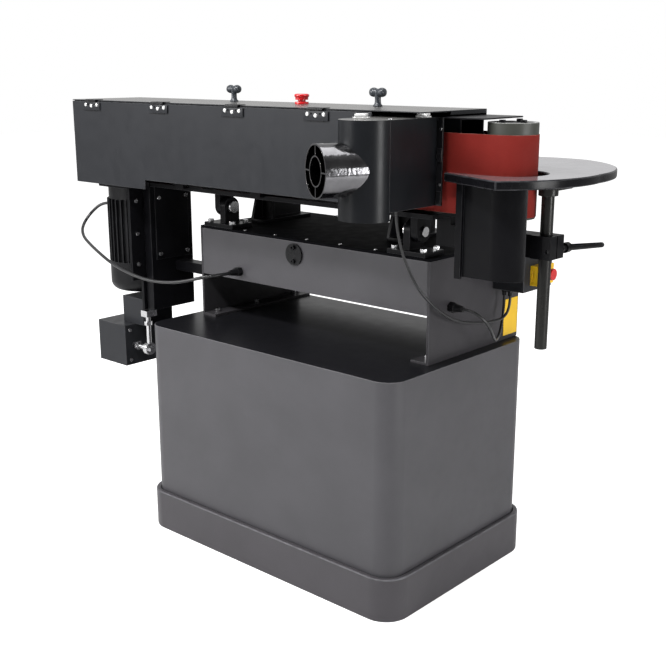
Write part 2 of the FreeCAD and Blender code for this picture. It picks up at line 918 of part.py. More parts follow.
def hood_screws():
    """Screws on the hood's top and down its side panel's seam."""
    screws = []
    for y in (-180.0, -290.0):
        screws.append(rod(hood_x + hood_radius - 10, y, hood_top, 3.5, 2.2))
    for z in (908.0, 1012.0):
        screws.append(rod(strip_left + strip_width / 2 + 3, hood_mouth_y - 4, z, 2.6,
                          2.0, -Y_AXIS))
    return group(screws)


# ---------------- column and tilt lock ----------------

column_rear = -152.0
column_front = -17.0
column_cover_bottom = 650.0


def slide_column():
    """Upright plate with a side flange, hung from the head beam."""
    x1 = column_x + column_thickness
    post = block(column_x, x1, column_rear, column_front, column_bottom, head_beam_top)
    pocket = block(column_x + 10, x1 + 1, column_rear + 24, column_front - 24,
                   column_cover_bottom + 15, head_beam_bottom - 15)
    return post.cut(pocket)


def slide_rails():
    """Two flat hardened rails between the column and the carriage."""
    rails = []
    for y in (column_rear + 12, column_front - 32):
        rails.append(block(carriage_right, column_x, y, y + 20, column_bottom + 20,
                           head_beam_top - 60))
    return group(rails)


def column_cover():
    """Folded cover on the column's open side."""
    x0 = column_x + column_thickness
    return block(x0, x0 + 3, column_rear + 14, column_front - 14,
                 column_cover_bottom, head_beam_bottom)


def column_bolts():
    heads = []
    x0 = column_x + column_thickness
    for y in (column_rear + 24, column_front - 24):
        for z in (column_cover_bottom + 14, head_beam_bottom - 30):
            heads.append(hex_head(x0 + 3, y, z, 10.0, 5.0, X_AXIS))
    return group(heads)


lock_arm_x0 = column_x + column_thickness
lock_z = tilt_z - lock_radius


def tilt_lock_arm():
    """Arm from the column to the saddle's slotted side plate."""
    end = saddle_left - 9.0
    bar = block(lock_arm_x0, end, tilt_y - 16, tilt_y + 16, lock_z - 18, lock_z + 8)
    bore = rod(end - 30, tilt_y, lock_z, lock_stud_radius, 31, X_AXIS)
    return bar.cut(bore)


def tilt_lock_stud():
    """Stud through the saddle's arc slot, with a washer and nut inside."""
    start = saddle_left - 9.0 - 28
    stud = rod(start, tilt_y, lock_z, lock_stud_radius, 28 + 9 + saddle_wall + 16, X_AXIS)
    washer = rod(saddle_left + saddle_wall + seat_gap, tilt_y, lock_z, 14.0, 3.0, X_AXIS)
    nut = hex_head(saddle_left + saddle_wall + seat_gap + 3, tilt_y, lock_z, 19.0, 9.0,
                   X_AXIS)
    return join([stud, washer, nut])


def tilt_lock_lever():
    """Clamping collar with a lever, turned on the stud against the side plate."""
    left = saddle_left - 8.5
    hub = rod(left, tilt_y, lock_z, 15.0, 8.0, X_AXIS)
    lever = block(left, left + 8.0, tilt_y - 5, tilt_y + 5, lock_z - 62, lock_z)
    tip = rod(left, tilt_y, lock_z - 62, 7.0, 8.0, X_AXIS)
    knob = join([hub, lever, tip])
    return knob.cut(rod(left, tilt_y, lock_z, lock_stud_radius + running_clearance, 8.0,
                        X_AXIS))


# ---------------- oscillating carriage ----------------

def carriage_plate():
    """Plate that slides on the rails: tongue up to the belt beam, tail to the gear box."""
    main = block(carriage_left, carriage_right, gear_box_rear, column_front,
                 carriage_shoulder,
                 head_beam_bottom - 4)
    tongue = block(carriage_left, carriage_right, drum_y - frame_half + 3,
                   drum_y + frame_half - 3,
                   head_beam_bottom - 4, top_plate_z)
    tail = block(carriage_left, carriage_right, -160.0, -70.0, carriage_bottom,
                 carriage_shoulder)
    return join([main, tongue, tail])


def carriage_bolts():
    heads = []
    for z in (640.0, 718.0, 800.0):
        heads.append(hex_head(carriage_right, gear_box_rear + 18, z, 10.0, 5.0, X_AXIS))
    for z in (500.0, 530.0):
        heads.append(hex_head(carriage_left, -140.0, z, 8.0, 4.0, -X_AXIS))
    return group(heads)


def motor_mount_plate():
    plate = block(drive_x - 58, carriage_left, drum_y - 82, drum_y + 66, motor_top,
                  motor_top + motor_plate_thickness)
    return plate.cut(rod(drive_x, drum_y, motor_top, 30, motor_plate_thickness))


motor_core_radius = 74.0
motor_bore = 60.0
bell_height = 31.0


def motor_housing():
    """Finned stator housing with a plain bell at its top."""
    z0 = motor_bottom + fan_cover_height
    z1 = motor_top - bell_height
    core = rod(drive_x, drum_y, z0, motor_core_radius, motor_top - z0)
    bell = rod(drive_x, drum_y, z1, motor_core_radius + 3, bell_height)
    fin = block(motor_core_radius - 4, motor_radius, -1.6, 1.6, z0, z1)
    pieces = [core, bell]
    for i in range(motor_fin_count):
        blade = fin.copy()
        blade.rotate(Vector(0, 0, 0), Z_AXIS, 360.0 * (i + 0.5) / motor_fin_count)
        blade.translate(Vector(drive_x, drum_y, 0))
        if blade.BoundBox.XMax < carriage_left:
            pieces.append(blade)
    body = join(pieces)
    bore = rod(drive_x, drum_y, z0, motor_bore, z1 - z0)
    shaft_hole = rod(drive_x, drum_y, z1, shaft_radius + running_clearance, bell_height)
    return body.cut(bore).cut(shaft_hole)


def motor_fan_cover():
    """Cup over the fan with a rounded bottom edge and an air grille of slots."""
    outer = rod(drive_x, drum_y, motor_bottom, motor_radius - 1, fan_cover_height)
    rim = []
    for edge in outer.Edges:
        if edge.BoundBox.ZMax < motor_bottom + 1:
            rim.append(edge)
    outer = outer.makeFillet(24.0, rim)
    inner = rod(drive_x, drum_y, motor_bottom + 3, motor_radius - 4, fan_cover_height)
    inner_rim = []
    for edge in inner.Edges:
        if edge.BoundBox.ZMax < motor_bottom + 4:
            inner_rim.append(edge)
    inner = inner.makeFillet(21.0, inner_rim)
    cup = outer.cut(inner)
    for i in range(-3, 4):
        half = math.sqrt(48.0 ** 2 - (i * 13.0) ** 2)
        cup = cup.cut(block(drive_x - half, drive_x + half, drum_y + i * 13 - 2.5,
                            drum_y + i * 13 + 2.5, motor_bottom - 1, motor_bottom + 5))
    return cup


def motor_stator():
    z0 = motor_bottom + fan_cover_height + 20
    return tube(drive_x, drum_y, z0, motor_bore, 42.0, 110.0)


def terminal_box():
    """Box on the motor's side with its lid and cable gland."""
    box = block(motor_gland_x, drive_x - motor_radius + 12, motor_gland_y - 32,
                motor_gland_y + 32, 727.0, 797.0)
    lid_plate = block(motor_gland_x - 4, motor_gland_x, motor_gland_y - 35,
                      motor_gland_y + 35, 724.0, 800.0)
    body = join([box, lid_plate])
    clear = rod(drive_x, drum_y, 720.0, motor_radius + seat_gap, 90.0)
    return body.cut(clear)


def motor_gland():
    return gland(motor_gland_x - 4, motor_gland_y, motor_gland_z, -X_AXIS, 30.0)


def belt_beam():
    """Long box between the two belt runs that carries the platen and the idler."""
    wall = 4.0
    x0 = carriage_right
    x1 = 440.0
    y0 = drum_y - frame_half
    y1 = drum_y + frame_half
    z0 = 856.0
    outer = block(x0, x1, y0, y1, z0, top_plate_z)
    inner = block(x0 + wall, x1 + 1, y0 + wall, y1 - wall, z0 + wall, top_plate_z - wall)
    slot = block(400.0, x1 + 1, drum_y - 18, drum_y + 18, z0 - 1, z0 + wall + 1)
    return outer.cut(inner).cut(slot)


def belt_top_plate():
    return block(drive_x - 45, top_plate_right, hood_mouth_y + 3, cover_front - 4,
                 top_plate_z, top_plate_z + 3)


def platen():
    """Flat backing behind the belt's working run."""
    back = drum_y + frame_half
    face = drum_y + belt_inner_radius - belt_side_gap
    return block(drive_x + 90, 440.0, back, face, 858.0, belt_bottom + belt_width - 4)


def belt_prism(radius, z0, height):
    left = rod(drive_x, drum_y, z0, radius, height)
    right = rod(idler_x, drum_y, z0, radius, height)
    middle = block(drive_x, idler_x, drum_y - radius, drum_y + radius, z0, z0 + height)
    return join([left, middle, right])


def sanding_belt():
    outer = belt_prism(belt_outer_radius, belt_bottom, belt_width)
    return outer.cut(belt_prism(belt_inner_radius, belt_bottom, belt_width))


# ---------------- drive spindle and idler ----------------

def motor_shaft():
    """Shaft with the rotor pressed on, from the fan up to the drive drum."""
    shaft = rod(drive_x, drum_y, motor_bottom + 18, shaft_radius, 1012 - motor_bottom - 18)
    rotor = rod(drive_x, drum_y, motor_bottom + fan_cover_height + 20, 41.0, 110.0)
    return join([shaft, rotor])


def motor_fan():
    hub_z = motor_bottom + 26
    hub = tube(drive_x, drum_y, hub_z, 24.0, shaft_radius, 24.0)
    pieces = [hub]
    for i in range(8):
        blade = block(20.0, 62.0, -1.5, 1.5, hub_z + 2, hub_z + 22)
        blade.rotate(Vector(0, 0, 0), Z_AXIS, 45.0 * i)
        blade.translate(Vector(drive_x, drum_y, 0))
        pieces.append(blade)
    return join(pieces)


def drum_shell(x, bore, web):
    """Rubber-faced drum: rim, a web round the bore and open ends."""
    body = rod(x, drum_y, drum_bottom, drum_radius, drum_height)
    body = body.cut(rod(x, drum_y, drum_bottom, bore, drum_height))
    hollow = tube(x, drum_y, drum_bottom, drum_radius - 9, bore + web, drum_height - 30)
    return body.cut(hollow)


idler_shaft_radius = 12.0
bearing_outer = 26.0
bearing_width = 15.0
idler_arm_top = drum_bottom - 2.0
tension_travel = 15.0
slide_width = 30.0
slide_height = 20.0
slide_z = 880.0


def drive_drum():
    return drum_shell(drive_x, shaft_radius, 8.0)


def idler_drum():
    """Idler drum with a recess in its top for the fixed end cap."""
    body = drum_shell(idler_x, bearing_outer, 6.0)
    recess = rod(idler_x, drum_y, drum_top - 10, drum_recess_radius, 10.0)
    return body.cut(recess)


def idler_bearings():
    """Two ball bearings, drawn as rings, between the idler shaft and drum."""
    rings = []
    for z in (drum_bottom + 10, drum_top - 30):
        rings.append(tube(idler_x, drum_y, z, bearing_outer,
                          idler_shaft_radius + running_clearance, bearing_width))
    return group(rings)


def idler_mount():
    """Slide bar in the belt beam, dropping to an arm that carries the idler shaft."""
    z_bar = slide_z
    bar = block(330.0, 445.0, drum_y - slide_width / 2, drum_y + slide_width / 2,
                z_bar, z_bar + slide_height)
    leg = block(430.0, 445.0, drum_y - slide_width / 2, drum_y + slide_width / 2,
                idler_arm_top - 12, z_bar)
    arm = block(430.0, idler_x + 20, drum_y - slide_width / 2,
                drum_y + slide_width / 2, idler_arm_top - 12, idler_arm_top)
    shaft = rod(idler_x, drum_y, idler_arm_top, idler_shaft_radius,
                drum_top - 8 - idler_arm_top)
    return join([bar, leg, arm, shaft])


def idler_cap():
    """Fixed cap in the drum's top recess, on the end of the idler shaft."""
    return rod(idler_x, drum_y, drum_top - 8, drum_recess_radius - 0.5, 7.0)


cap_bolt_angles = (-100.0, -20.0, 100.0)
cap_bolt_circle = 30.0


def idler_cap_bolts():
    bolts = []
    for angle in cap_bolt_angles:
        turn = math.radians(angle)
        bolts.append(socket_head(idler_x + cap_bolt_circle * math.cos(turn),
                                 drum_y + cap_bolt_circle * math.sin(turn),
                                 drum_top - 1, 6.0, 5.7))
    return group(bolts)


def tension_guide():
    """Sleeve on the belt beam's floor that the idler's slide bar runs in."""
    z0 = 860.0
    body = block(340.0, 400.0, drum_y - 28, drum_y + 28, z0, slide_z + slide_height + 10)
    bore = block(339.0, 401.0, drum_y - slide_width / 2 - running_clearance,
                 drum_y + slide_width / 2 + running_clearance,
                 slide_z - running_clearance,
                 slide_z + slide_height + running_clearance)
    return body.cut(bore)


# ---------------- oscillation drive ----------------

def gear_box():
    """Sheet case round the small gear motor."""
    wall = 3.0
    outer = block(gear_box_left, gear_box_right, gear_box_rear, gear_box_front,
                  gear_box_bottom, gear_box_top)
    inner = block(gear_box_left + wall, gear_box_right - wall, gear_box_rear + wall,
                  gear_box_front - wall, gear_box_bottom + wall, gear_box_top - wall)
    hole = rod(gear_box_right - wall - 1, crank_y, crank_z, crank_radius + 0.6,
               wall + 2, X_AXIS)
    return outer.cut(inner).cut(hole)


def gear_box_bolts():
    heads = []
    for y in (gear_box_rear + 14, gear_box_front - 14):
        for z in (gear_box_bottom + 14, gear_box_top - 14):
            heads.append(hex_head(gear_box_right, y, z, 8.0, 4.0, X_AXIS))
    return group(heads)


def gear_motor():
    """Geared motor inside the case, with a blind bore for its output shaft."""
    body = rod(gear_box_left + 12, crank_y, crank_z, 24.0,
               gear_box_right - 3 - gear_box_left - 12, X_AXIS)
    bore = rod(gear_box_right - 40, crank_y, crank_z, crank_radius + running_clearance,
               40, X_AXIS)
    return body.cut(bore)


def drive_bracket():
    """Folded bracket between the carriage tail and the gear box."""
    outer = block(-592.0, carriage_left, -160.0, -76.0, gear_box_top, 545.0)
    inner = block(-589.0, carriage_left + 1, -157.0, -79.0, gear_box_top + 3, 542.0)
    return outer.cut(inner)


rod_x0 = -497.0


def crank_shaft():
    """Output shaft with a locked nut, an eccentric pin and its end washer."""
    face = rod_x0 - seat_gap
    shaft = rod(gear_box_right - 38, crank_y, crank_z, crank_radius,
                face - gear_box_right + 38, X_AXIS)
    nut = hex_head(gear_box_right + 3, crank_y, crank_z, 22.0, 8.0, X_AXIS)
    collar = rod(gear_box_right + 11, crank_y, crank_z, 12.0, 3.0, X_AXIS)
    pin_end = rod_x0 + rod_eye_width + seat_gap
    offset = crank_y - half_stroke
    pin = rod(face, offset, crank_z, crank_pin_radius, pin_end - face, X_AXIS)
    washer = rod(pin_end, offset, crank_z, 10.0, 2.5, X_AXIS)
    end_nut = hex_head(pin_end + 2.5, offset, crank_z, 13.0, 6.0, X_AXIS)
    return join([shaft, nut, collar, pin, washer, end_nut])


def connecting_rod():
    """Rod from the crank pin up to the column: eye, bar, lock nut and clevis block."""
    middle = rod_x0 + rod_eye_width / 2
    eye = rod(rod_x0, crank_y, crank_z, rod_eye_radius, rod_eye_width, X_AXIS)
    bar = rod(middle, crank_y, crank_z, 6.0, 90.0)
    nut = hex_head(middle, crank_y, crank_z + 62, 17.0, 10.0)
    clevis = block(rod_x0 - 2, rod_x0 + rod_eye_width + 8, crank_y - 15, crank_y + 17,
                   column_bottom - 16, column_bottom)
    slack = half_stroke * 2 + curved_gap
    opening = rod(rod_x0, crank_y, crank_z, crank_pin_radius + slack, rod_eye_width,
                  X_AXIS)
    return join([eye, bar, nut, clevis]).cut(opening)


# ---------------- contour table ----------------

table_tip = (432.0, -168.0)
table_corner = (588.0, -232.0)
table_right_point = (668.0, 0.0)
table_front_point = (500.0, 258.0)
table_front_left = (330.0, 232.0)


def contour_outline():
    """Plan of the round table: straight left edge, long arcs to the right and front."""
    tip = Vector(table_tip[0], table_tip[1], 0)
    corner = Vector(table_corner[0], table_corner[1], 0)
    right = Vector(table_right_point[0], table_right_point[1], 0)
    front = Vector(table_front_point[0], table_front_point[1], 0)
    left = Vector(table_front_left[0], table_front_left[1], 0)
    rear_bulge = Vector(652.0, -142.0, 0)
    front_bulge = Vector(626.0, 146.0, 0)
    left_bulge = Vector(415.0, 262.0, 0)
    step = Vector(table_front_left[0], drum_y + slot_radius, 0)
    step_right = Vector(table_tip[0], drum_y + slot_radius, 0)
    edges = [
        Part.makeLine(tip, corner),
        Part.Arc(corner, rear_bulge, right).toShape(),
        Part.Arc(right, front_bulge, front).toShape(),
        Part.Arc(front, left_bulge, left).toShape(),
        Part.makeLine(left, step),
        Part.makeLine(step, step_right),
        Part.makeLine(step_right, tip),
    ]
    return Part.Face(Part.Wire(edges))


def contour_table():
    """Round table with a slot for the belt's idler end."""
    face = contour_outline()
    face.translate(Vector(0, 0, table_bottom))
    plate = face.extrude(Vector(0, 0, table_thickness))
    slot = rod(idler_x, drum_y, table_bottom - 1, slot_radius, table_thickness + 2)
    way = block(table_tip[0] - 1, idler_x, drum_y - slot_radius, drum_y + slot_radius,
                table_bottom - 1, table_top + 1)
    return plate.cut(slot).cut(way)


def contour_post():
    """Round post with a boss and a square pad under the table."""
    post = rod(post_x, post_y, post_bottom, post_radius, table_bottom - post_bottom)
    boss = rod(post_x, post_y, table_bottom - 22, boss_radius, 22)
    pad = block(post_x - 7, post_x + 37, post_y - 26, post_y + 24, table_bottom - 8,
                table_bottom)
    return join([post, boss, pad])


def drum_guard():
    """Guard under the table, round the idler drum's rear; it moves with the table."""
    inner = guard_radius
    outer = guard_radius + guard_wall
    z0 = guard_bottom
    height = table_bottom - guard_bottom
    ring = tube(idler_x, drum_y, z0, outer, inner, height)
    reach = outer * 3
    start = math.radians(-90)
    end = math.radians(-30)
    centre = Vector(idler_x, drum_y, z0)
    corners = [centre,
               centre + Vector(math.cos(start) * reach, math.sin(start) * reach, 0),
               centre + Vector(reach, -reach, 0),
               centre + Vector(math.cos(end) * reach, math.sin(end) * reach, 0),
               centre]
    wedge = Part.Face(Part.makePolygon(corners)).extrude(Vector(0, 0, height))
    curve = ring.common(wedge)
    flat = block(470.0, idler_x, drum_y - outer, drum_y - inner, z0, z0 + height)
    flange = block(459.0, 473.0, drum_y - outer - 7, drum_y - outer, z0 - 4, z0 + height)
    return join([curve, flat, flange])


clamp_arm_left = saddle_right + 9.0
lever_axis_x = post_x + 18
lever_axis_z = clamp_bottom + clamp_height / 2 - 6


def clamp_block():
    """Arm from the head beam and the split clamp round the post."""
    z1 = clamp_bottom + clamp_height
    arm = block(clamp_arm_left, post_x - 18, post_y - 20, post_y + 20, clamp_bottom, z1)
    hanger = block(clamp_arm_left, head_beam_right, post_y - 20, post_y + 20, z1,
                   head_beam_bottom)
    head = block(post_x - 18, post_x + 24, post_y - 25, post_y + 25, clamp_bottom, z1)
    bore = rod(post_x, post_y, clamp_bottom, post_radius + running_clearance,
               clamp_height)
    split = block(post_x + 6, post_x + 25, post_y - 1.5, post_y + 1.5, clamp_bottom, z1)
    screw = rod(lever_axis_x, post_y - 26, lever_axis_z, 4.2, 60, Y_AXIS)
    return join([arm, hanger, head]).cut(bore).cut(split).cut(screw)


def clamp_lever():
    """Ratchet lever on the clamp's screw."""
    y0 = post_y + 25 + seat_gap
    screw = rod(lever_axis_x, post_y - 22, lever_axis_z, 4.0, y0 - post_y + 22 + 6, Y_AXIS)
    collar = rod(lever_axis_x, y0, lever_axis_z, 6.5, 12.0, Y_AXIS)
    hub = rod(lever_axis_x, y0 + 12, lever_axis_z, 10.0, 14.0, Y_AXIS)
    start = Vector(lever_axis_x, y0 + 19, lever_axis_z)
    direction = Vector(0.86, 0.42, 0.12).normalize()
    handle = Part.makeCone(6.5, 5.0, 66.0, start, direction)
    tip = Part.makeSphere(5.0, start + direction * 66.0)
    return join([screw, collar, hub, handle, tip])


def build():
    os.makedirs("parts", exist_ok=True)
    stand_bolts = [saddle_screws(), saddle_bolts(), pillow_bolts()]
    save("cabinet_shell", cabinet_shell())
    save("cabinet_plinth", cabinet_plinth())
    save("saddle_left_side", saddle_side(-1))
    save("saddle_right_side", saddle_side(1))
    save("saddle_panels", group([saddle_rear_panel(), saddle_front_panel()]))
    save("saddle_top_plate", saddle_top_plate())
    save("stand_bolts", group(stand_bolts))
    save("blank_cap", group([blank_cap(), blank_cap_screws()]))
    save("pillow_blocks", group([pillow_block(-1), pillow_block(1)]))
    save("tilt_pins", tilt_pins())
    save("work_table", work_table())
    save("work_table_brackets", work_table_brackets())
    save("control_box", control_box())
    save("switch_enclosure", switch_enclosure())
    save("start_button", push_button(start_y, 1.5))
    save("stop_button", stop_button())
    save("selector_knob", selector_knob())
    save("notice_plate", notice_plate())
    save("cable_glands", group([saddle_glands(), box_glands()]))
    save("motor_cable", cable(motor_cable_route, motor_cable_diameter, "motor_cable"))
    save("head_lead", cable(head_lead_route, lead_diameter, "head_lead"))
    save("side_lead", cable(side_lead_route, lead_diameter, "side_lead"))
    save("head_beam", head_beam())
    save("rear_panel", rear_panel())
    save("panel_arms", group([panel_arms(), latch_bars()]))
    save("left_end_cover", left_end_cover())
    save("hinge_leaves", hinge_fixed_leaves())
    save("head_fasteners", group([hinge_rivets(), hood_screws(), column_bolts()]))
    save("lid", lid())
    save("lid_hinge_pins", hinge_lid_leaves())
    save("estop_collar", estop_collar_ring())
    save("estop_button", estop_button())
    save("latch_knob_left", latch_knob(latch_stations[0]))
    save("latch_knob_right", latch_knob(latch_stations[1]))
    save("dust_hood", dust_hood())
    save("hood_side_panel", hood_side_panel())
    save("hood_port", hood_port())
    save("hood_strip", group([hood_strip(), hood_strip_pads()]))
    save("slide_column", group([slide_column(), column_cover(), slide_rails()]))
    save("connecting_rod", connecting_rod())
    save("tilt_lock_arm", group([tilt_lock_arm(), tilt_lock_stud()]))
    save("tilt_lock_lever", tilt_lock_lever())
    save("clamp_block", clamp_block())
    save("clamp_lever", clamp_lever())
    save("contour_table", contour_table())
    save("contour_post", contour_post())
    save("drum_guard", drum_guard())
    save("carriage_plate", group([carriage_plate(), motor_mount_plate()]))
    save("carriage_bolts", group([carriage_bolts(), gear_box_bolts()]))
    save("motor_housing", group([motor_housing(), motor_stator()]))
    save("motor_fan_cover", motor_fan_cover())
    save("terminal_box", group([terminal_box(), motor_gland()]))
    save("belt_frame", group([belt_beam(), belt_top_plate(), platen(), tension_guide()]))
    save("sanding_belt", sanding_belt())
    save("gear_box", group([gear_box(), gear_motor(), drive_bracket()]))
    save("crank_shaft", crank_shaft())
    save("motor_rotor", group([motor_shaft(), motor_fan()]))
    save("drive_drum", drive_drum())
    save("idler_drum", group([idler_drum(), idler_bearings()]))
    save("idler_mount", group([idler_mount(), idler_cap(), idler_cap_bolts()]))


build()
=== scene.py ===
import bpy, bmesh, json
from math import pi, radians
from mathutils import Vector, Matrix


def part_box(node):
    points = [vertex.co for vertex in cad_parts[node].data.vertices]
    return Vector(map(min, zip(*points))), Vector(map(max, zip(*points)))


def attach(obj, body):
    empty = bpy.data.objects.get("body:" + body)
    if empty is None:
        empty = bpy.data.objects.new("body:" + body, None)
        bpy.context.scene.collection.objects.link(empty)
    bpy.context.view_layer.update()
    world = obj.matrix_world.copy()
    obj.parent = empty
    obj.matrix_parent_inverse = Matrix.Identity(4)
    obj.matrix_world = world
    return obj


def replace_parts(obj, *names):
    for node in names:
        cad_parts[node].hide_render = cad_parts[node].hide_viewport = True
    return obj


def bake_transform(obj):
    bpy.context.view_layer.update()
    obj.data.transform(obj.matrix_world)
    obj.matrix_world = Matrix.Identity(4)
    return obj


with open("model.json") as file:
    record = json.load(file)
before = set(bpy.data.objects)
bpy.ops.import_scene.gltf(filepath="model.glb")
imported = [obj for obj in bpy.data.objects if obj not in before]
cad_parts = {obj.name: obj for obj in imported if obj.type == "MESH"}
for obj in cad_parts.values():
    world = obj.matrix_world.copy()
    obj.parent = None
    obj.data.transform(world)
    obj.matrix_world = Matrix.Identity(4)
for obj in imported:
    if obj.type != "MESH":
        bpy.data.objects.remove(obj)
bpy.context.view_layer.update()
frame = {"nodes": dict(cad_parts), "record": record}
scene = bpy.context.scene
bodies = frame["record"]["behaviour"]["bodies"]
bodyOf = {node: body for body, nodes in bodies.items() for node in nodes}
slotOf = {part["node"]: part["material_slot"] for part in frame["record"]["subparts"]}
print("frame loaded")

cameraSettings = {
    "place": (1.5851, -1.7738, 1.1292),
    "turn": (radians(75.48), 0.0, radians(41.738)),
    "lens": 56.1,
    "sensor": 36.0,
}


def makeCamera(settings):
    data = bpy.data.cameras.new("camera")
    data.lens = settings["lens"]
    data.sensor_width = settings["sensor"]
    camera = bpy.data.objects.new("camera", data)
    camera.location = settings["place"]
    camera.rotation_euler = settings["turn"]
    scene.collection.objects.link(camera)
    scene.camera = camera


makeCamera(cameraSettings)


# A finish is one dictionary, and this is what it has where its own doesn't say. Lengths are in metres,
# and grain, cloud, smear and rub are how fine each pattern is, per metre; rub sets the patches of lighter
# edge, which are rubbed wear on most finishes and a painted highlight on the dust port and the drum rubber.
usualFinish = {
    "metal": 0.0, "shine": 0.5, "coat": 0.0, "coatRough": 0.1,
    "blotch": 0.08, "cloud": 9.0, "cloudDetail": 5.0,
    "grain": 900.0, "grainDetail": 2.0, "bump": 0.25, "bumpDepth": 0.0003,
    "speck": None, "speckShare": 1.0,
    "edge": None, "edgeShare": 0.8, "edgeLeast": 0.15, "rubAndHighlight": 60.0, "rubAndHighlightDetail": 4.0,
    "roughSpread": 0.06, "smear": 35.0, "smearDetail": 4.0,
    "noiseLow": 0.3, "noiseHigh": 0.7,
}


def makeFinish(name, ownSettings):
    settings = {**usualFinish, **ownSettings}
    material = bpy.data.materials.new(name)
    material.use_nodes = True
    nodes = material.node_tree.nodes
    links = material.node_tree.links
    shader = nodes["Principled BSDF"]
    shader.inputs["Metallic"].default_value = settings["metal"]
    shader.inputs["Specular IOR Level"].default_value = settings["shine"]
    shader.inputs["Coat Weight"].default_value = settings["coat"]
    shader.inputs["Coat Roughness"].default_value = settings["coatRough"]
    place = nodes.new("ShaderNodeTexCoord")

    def noise(scale, detail):
        texture = nodes.new("ShaderNodeTexNoise")
        texture.inputs["Scale"].default_value = scale
        texture.inputs["Detail"].default_value = detail
        links.new(place.outputs["Object"], texture.inputs["Vector"])
        return texture.outputs["Fac"]

    def spread(value, low, high):
        remap = nodes.new("ShaderNodeMapRange")
        remap.inputs["From Min"].default_value = settings["noiseLow"]
        remap.inputs["From Max"].default_value = settings["noiseHigh"]
        remap.inputs["To Min"].default_value = low
        remap.inputs["To Max"].default_value = high
        links.new(value, remap.inputs["Value"])
        return remap.outputs["Result"]

    def mix(factor, first, second):
        blend = nodes.new("ShaderNodeMix")
        blend.data_type = "RGBA"
        links.new(factor, blend.inputs[0])
        for socket, value in ((blend.inputs[6], first), (blend.inputs[7], second)):
            if isinstance(value, tuple):
                socket.default_value = (*value, 1.0)
            else:
                links.new(value, socket)
        return blend.outputs[2]

    colour = settings["colour"]
    change = settings["blotch"]
    dark = tuple(c * (1 - change) for c in colour)
    light = tuple(c * (1 + change) for c in colour)
    cloud = noise(settings["cloud"], settings["cloudDetail"])
    shade = mix(spread(cloud, 0.0, 1.0), dark, light)
    grain = noise(settings["grain"], settings["grainDetail"])
    if settings["speck"]:       # lighter grains
        shade = mix(spread(grain, 0.0, settings["speckShare"]), shade, settings["speck"])
    if settings["edge"]:        # lighter along the rounded edges: rubbed wear on most finishes, a painted highlight on the dust port and the drum rubber
        edgeWearAndHighlight = nodes.new("ShaderNodeAttribute")
        edgeWearAndHighlight.attribute_name = "edge"
        rubAndHighlight = nodes.new("ShaderNodeMath")
        rubAndHighlight.operation = "MULTIPLY"
        links.new(edgeWearAndHighlight.outputs["Fac"], rubAndHighlight.inputs[0])
        patches = noise(settings["rubAndHighlight"], settings["rubAndHighlightDetail"])
        links.new(spread(patches, settings["edgeLeast"], settings["edgeShare"]), rubAndHighlight.inputs[1])
        shade = mix(rubAndHighlight.outputs[0], shade, settings["edge"])
    links.new(shade, shader.inputs["Base Color"])
    rough = settings["rough"]
    vary = settings["roughSpread"]
    smear = noise(settings["smear"], settings["smearDetail"])
    links.new(spread(smear, rough - vary, rough + vary), shader.inputs["Roughness"])
    bump = nodes.new("ShaderNodeBump")
    bump.inputs["Strength"].default_value = settings["bump"]
    bump.inputs["Distance"].default_value = settings["bumpDepth"]
    links.new(grain, bump.inputs["Height"])
    links.new(bump.outputs["Normal"], shader.inputs["Normal"])
    return material


